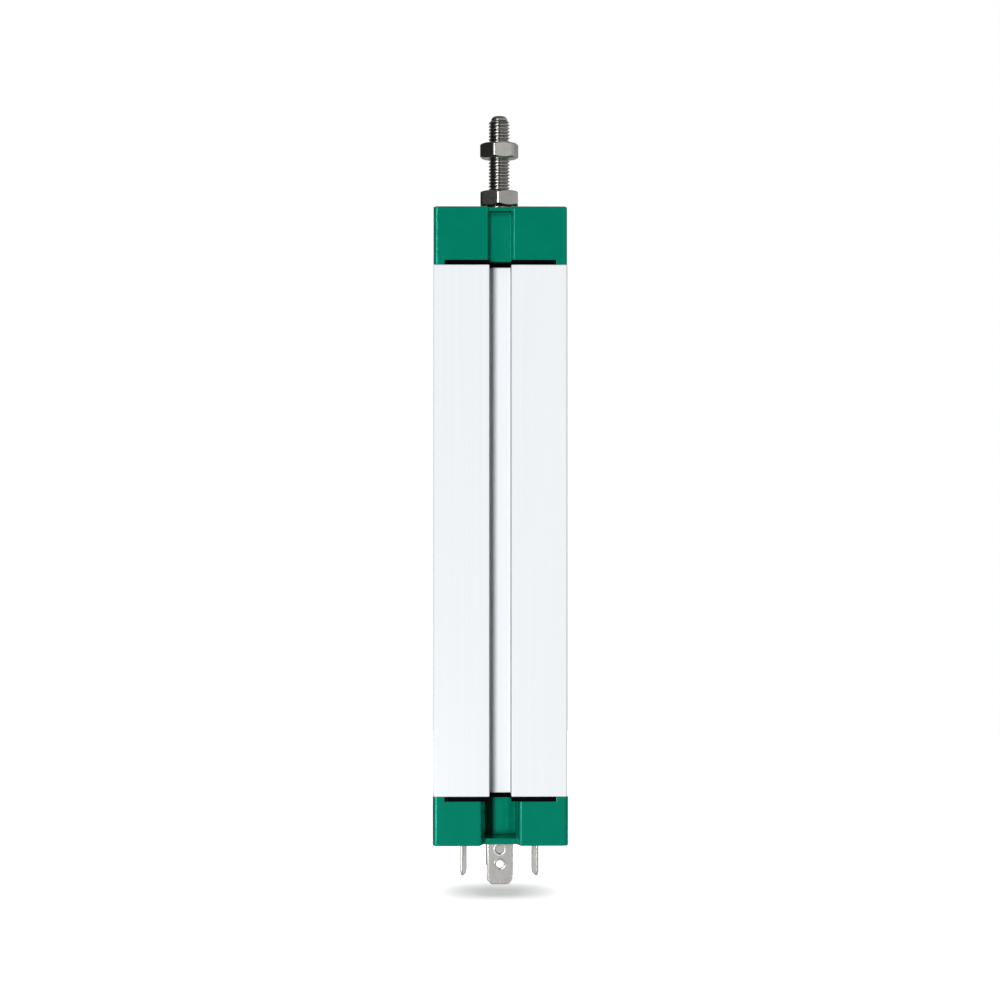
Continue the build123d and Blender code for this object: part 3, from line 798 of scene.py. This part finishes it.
blade_low, blade_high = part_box("earth_blade")
hole = Vector(((blade_low.x + blade_high.x) / 2, blade_low.y, blade_low.z + hole_from_tip))
hole_ring = ring_on_blade("hole_ring", "blade_metal", hole, hole_ring_radius, hole_ring_half)
eyelet = Vector((rivet_middle.x, rivet_low.y + eyelet_highlight_half, rivet_middle.z))
# The eyelet's ring takes the near-white aluminium finish as a painted highlight on the rolled rim
ring_on_blade("eyelet_highlight_ring", "profile_aluminium", eyelet, eyelet_highlight_radius, eyelet_highlight_half)


# Stage: floor, lamps and the cards that the metal mirrors

def seen_not_by_scatter(add, join):
    """Value that is 1 for what the camera, a mirror or glass sees, and 0 for scattered light."""
    path = add("ShaderNodeLightPath")
    first = add("ShaderNodeMath", operation="MAXIMUM")
    join(path.outputs["Is Camera Ray"], first.inputs[0])
    join(path.outputs["Is Glossy Ray"], first.inputs[1])
    second = add("ShaderNodeMath", operation="MAXIMUM")
    join(first.outputs[0], second.inputs[0])
    join(path.outputs["Is Transmission Ray"], second.inputs[1])
    return second.outputs[0]


world = bpy.data.worlds.new("white_room")
bpy.context.scene.world = world
add, join = empty_tree(world)
seen = seen_not_by_scatter(add, join)
background = add("ShaderNodeBackground")
world_output = add("ShaderNodeOutputWorld")
background.inputs["Color"].default_value = (1, 1, 1, 1)
join(mapped(add, join, seen, (0.0, 1.0), (ambient_level, 1.0)), background.inputs["Strength"])
join(background.outputs["Background"], world_output.inputs["Surface"])

bpy.ops.mesh.primitive_circle_add(
    vertices=floor_segments, radius=floor_radius, fill_type="NGON", location=(0, 0, floor_level)
)
floor = bpy.context.object
floor.name = "floor"
floor_finish = bpy.data.materials.new("pale_floor")
add, join = empty_tree(floor_finish)
seen = seen_not_by_scatter(add, join)
scatter = add("ShaderNodeBsdfDiffuse")
own_light = add("ShaderNodeEmission")
own_level = add("ShaderNodeMath", operation="MULTIPLY")
own_level.inputs[1].default_value = floor_glow
both = add("ShaderNodeAddShader")
output = add("ShaderNodeOutputMaterial")
join(mapped(add, join, seen, (0.0, 1.0), (floor_bounce, floor_tone)), scatter.inputs["Color"])
join(seen, own_level.inputs[0])
join(own_level.outputs[0], own_light.inputs["Strength"])
join(scatter.outputs[0], both.inputs[0])
join(own_light.outputs[0], both.inputs[1])
join(both.outputs[0], output.inputs["Surface"])
floor.data.materials.append(floor_finish)


def towards(azimuth, elevation):
    """Direction to the right of the front by the azimuth and up by the elevation, in degrees."""
    azimuth = math.radians(azimuth)
    elevation = math.radians(elevation)
    return Vector((
        math.sin(azimuth) * math.cos(elevation),
        -math.cos(azimuth) * math.cos(elevation),
        math.sin(elevation),
    ))


def face(thing, direction, distance, aim):
    """Put a lamp or a card at this distance from a point, with its front towards the point."""
    thing.location = aim + direction * distance
    thing.rotation_euler = direction.to_track_quat("Z", "Y").to_euler()


def lamp(name, direction, distance, size, share, aim=Vector((0, 0, 0)), mirrored=False, scattered=True):
    """Rectangular lamp, which lights a surface that faces it by a share of the full level."""
    data = bpy.data.lights.new(name, "AREA")
    data.shape = "RECTANGLE"
    data.size, data.size_y = size
    # At the full level, a matt white surface that faces the lamp at this distance shows just white
    data.energy = share * math.pi ** 2 * distance ** 2
    thing = placed(name, data)
    face(thing, direction, distance, aim)
    thing.visible_camera = False
    thing.visible_glossy = mirrored
    thing.visible_diffuse = scattered
    return thing


def card(name, direction, distance, size, level, aim):
    """Card that only the gloss of a surface shows, with its front towards a point."""
    glow = bpy.data.materials.new(name)
    add, join = empty_tree(glow)
    emission = add("ShaderNodeEmission")
    emission.inputs["Strength"].default_value = level
    emission.inputs["Color"].default_value = (1, 1, 1, 1)
    output = add("ShaderNodeOutputMaterial")
    join(emission.outputs[0], output.inputs["Surface"])
    bpy.ops.mesh.primitive_plane_add(size=1)
    thing = bpy.context.object
    thing.name = name
    thing.scale = (*size, 1)
    face(thing, direction, distance, aim)
    thing.data.materials.append(glow)
    thing.visible_camera = False
    thing.visible_diffuse = False
    thing.visible_shadow = False
    thing.visible_transmission = False


def group_of(name, parts):
    """Collection that holds these objects."""
    group = bpy.data.collections.new(name)
    for part in parts:
        group.objects.link(part)
    return group


def shine_on(thing, parts):
    """Let a lamp light these objects only, past the floor."""
    thing.light_linking.receiver_collection = group_of("lit_by_" + thing.name, parts)
    thing.light_linking.blocker_collection = shades


solids = [thing for thing in bpy.context.scene.objects if thing.type == "MESH" and thing is not floor]
shades = group_of("shades", solids)
metal = blades + [nuts["lower_nut"], nuts["upper_nut"], rod, rivet, hole_ring]
others = [thing for thing in solids if thing not in (profile, caps[1])]

# Soft lamps: azimuth and elevation, distance, size, share of the full level and what they light
soft_lamps = {
    "key": (-10, 0, 1.5, (0.37, 1.0), 0.97, others),
    "profile_key": (-10.5, 0, 1.5, (0.24, 1.0), 1.04, [profile]),
    "plug_key": (-17, -4, 1.5, (0.2, 0.4), 0.88, [caps[1]]),
    "back_left": (-140, 25, 1.2, (0.8, 0.8), 0.5, solids),
    "back_right": (140, 25, 1.2, (0.8, 0.8), 0.5, solids),
}
for name, (azimuth, elevation, distance, size, share, parts) in soft_lamps.items():
    shine_on(lamp(name, towards(azimuth, elevation), distance, size, share), parts)

# Lamps that only show as highlights, with the same values
strip_lamps = {
    "strip": (-27.5, 6, 1.0, (0.46, 0.9), 0.85, metal),
    "cap_strip": (-34, 6, 1.0, (0.25, 0.9), 1.6, caps),
}
for name, (azimuth, elevation, distance, size, share, parts) in strip_lamps.items():
    strip = lamp(name, towards(azimuth, elevation), distance, size, share, mirrored=True, scattered=False)
    shine_on(strip, parts)

up = Vector((0, 0, 1))
floor_middle = Vector((0, 0, floor_level))
above_floor = lamp("overhead", up, distance=0.7, size=(1.4, 1.4), share=3.3, aim=floor_middle)
shine_on(above_floor, [floor])

# Cards: direction, distance, size, level and the point they face
middle = Vector((0, 0, 0))
stud_middle = Vector((0, 0, 88)) * mm
plug_middle = Vector((0, 0, -58)) * mm
recess_middle = Vector((0, 0, -73)) * mm
rear_blade_foot = Vector((0, 8.6, -84)) * mm
cards = {
    "dark_front": (towards(-12, 0), 1.6, (1.3, 2.2), 0.06, middle),
    "dark_left": (towards(-90, 0), 0.15, (0.42, 0.3), 0.028, stud_middle),
    "grey_right": (towards(75, 0), 0.15, (0.26, 0.3), 0.7, stud_middle),
    "grey_back": (towards(170, 0), 0.25, (0.5, 0.3), 0.4, stud_middle),
    "dark_ceiling": (up, 0.15, (0.4, 0.4), 0.2, stud_middle),
    "grey_floor": (up, 1.0 * mm, (0.7, 0.7), 0.6, floor_middle),
    "dark_low_left": (towards(-90, 0), 0.12, (0.2, 0.056), 0.08, plug_middle),
    "dark_low_right": (towards(90, 0), 0.12, (0.2, 0.056), 0.3, plug_middle),
    "low_strip": (towards(-27.5, 0), 0.1, (0.025, 0.028), 15.0, recess_middle),
    "behind_hole": (towards(0, 0), 4.0 * mm, (6.0 * mm, 4.0 * mm), 2.0, rear_blade_foot),
}
for name, values in cards.items():
    card(name, *values)

# Camera
camera_data = bpy.data.cameras.new("camera")
camera_data.lens = focal_length
camera_data.sensor_width = sensor_width
camera_data.shift_x, camera_data.shift_y = frame_shift
camera = placed("camera", camera_data)
camera.location = eye
camera.rotation_euler = (math.radians(90), 0, math.radians(camera_turn))
bpy.context.scene.camera = camera
bpy.context.scene.view_settings.view_transform = "Standard"
